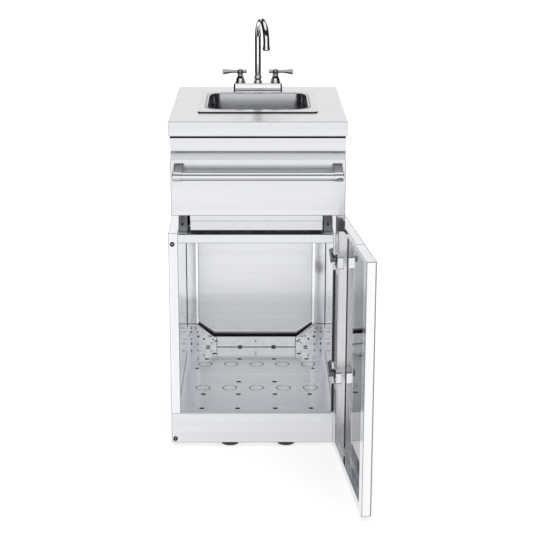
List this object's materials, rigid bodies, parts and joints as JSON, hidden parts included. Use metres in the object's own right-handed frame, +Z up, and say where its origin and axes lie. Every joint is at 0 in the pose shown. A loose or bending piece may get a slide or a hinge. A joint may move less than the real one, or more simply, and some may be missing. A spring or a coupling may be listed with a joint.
{
  "type": "portable handwash sink",
  "caption": "Freestanding stainless handwash unit with drop-in bowl, gooseneck faucet, towel-bar drawer and a lower cabinet with a side-hung door.",
  "frame": {"origin": "on the floor, at the centre of the unit's box as it stands with its door open", "axes": "+Z up, the front faces -Y, +X to the right seen from the front"},
  "size_m": [0.512, 1.0126, 1.1198],
  "materials": {
    "stainless": "fine brushed, almost mirror",
    "galvanised": "plain zinc coated sheet",
    "zinc_steel": "bright zinc",
    "nickel_hinge": "nickel plated",
    "chrome": "polished chrome",
    "satin_handle": "satin",
    "brass": "machined",
    "strainer_steel": "polished stainless",
    "grey_plastic": "moulded",
    "rubber": "matt",
    "foot_plastic": "moulded"
  },
  "bodies": {
    "unit": {"worktop": "stainless", "sink_bowl": "stainless", "housing_left_panel": "stainless", "housing_right_panel": "stainless", "housing_rear_panel": "stainless", "housing_tray": "stainless", "housing_front_rail": "stainless", "apron": "stainless", "front_brackets": "stainless", "rear_spacers": "stainless", "left_side_panel": "stainless", "right_side_panel": "stainless", "side_liners": "stainless", "top_rail": "stainless", "kick_panel": "stainless", "floor_panel": "stainless", "inner_back_panel": "stainless", "cutout_flange": "stainless", "rear_cover": "stainless", "corner_gussets": "stainless", "base_channels": "galvanised", "slide_outers": "zinc_steel", "arm_screws": "zinc_steel", "foot_locknuts": "zinc_steel", "hinge_arms": "nickel_hinge", "faucet_deck_plate": "chrome", "left_handle_bell": "chrome", "right_handle_bell": "chrome", "spout_collar": "chrome", "supply_shanks": "brass", "strainer_body": "strainer_steel", "drain_tailpiece": "strainer_steel", "shank_nuts": "grey_plastic", "drain_nuts": "grey_plastic", "deck_gasket": "rubber", "strainer_gasket": "rubber", "door_bumpers": "rubber", "levelling_feet": "foot_plastic"},
    "drawer": {"drawer_front": "stainless", "drawer_backing": "stainless", "drawer_box": "galvanised", "slide_inners": "zinc_steel", "handle_bar": "satin_handle", "handle_end_caps": "satin_handle", "handle_posts": "satin_handle", "drawer_screws": "zinc_steel"},
    "slide_members": {"slide_middles": "zinc_steel"},
    "door": {"door_skin": "stainless", "door_hinge_rail": "stainless", "door_free_rail": "stainless", "door_top_rail": "stainless", "door_bottom_rail": "stainless", "hinge_cups": "nickel_hinge", "hinge_pins": "zinc_steel", "door_hinge_screws": "zinc_steel"},
    "spout_swivel": {"spout": "chrome", "aerator": "chrome"},
    "left_handle": {"left_lever": "chrome"},
    "right_handle": {"right_lever": "chrome"},
    "basket": {"strainer_basket": "strainer_steel"}
  },
  "joints": [
    {"name": "drawer_slide", "type": "slide", "parent": "unit", "child": "drawer", "axis": [0, -1, 0], "range_m": [0, 0.2]},
    {"name": "slide_member_travel", "type": "slide", "parent": "unit", "child": "slide_members", "axis": [0, -1, 0], "range_m": [0, 0.1]},
    {"name": "door_hinge", "type": "hinge", "parent": "unit", "child": "door", "pos_m": [0.19413, -0.05963, 0.3765], "axis": [0, 0, 1], "range_deg": [-96, 6]},
    {"name": "spout_turn", "type": "hinge", "parent": "unit", "child": "spout_swivel", "pos_m": [-0.02002, 0.45325, 0.95], "axis": [0, 0, 1], "continuous": true},
    {"name": "left_lever_turn", "type": "hinge", "parent": "unit", "child": "left_handle", "pos_m": [-0.07082, 0.45325, 0.955], "axis": [0, 0, 1], "range_deg": [0, 90]},
    {"name": "right_lever_turn", "type": "hinge", "parent": "unit", "child": "right_handle", "pos_m": [0.03078, 0.45325, 0.955], "axis": [0, 0, -1], "range_deg": [0, 90]},
    {"name": "basket_lift", "type": "slide", "parent": "unit", "child": "basket", "axis": [0, 0, 1], "range_m": [0, 0.04]}
  ],
  "couplings": [
    {"joint": "slide_member_travel", "follows": "drawer_slide", "ratio": 0.5}
  ]
}
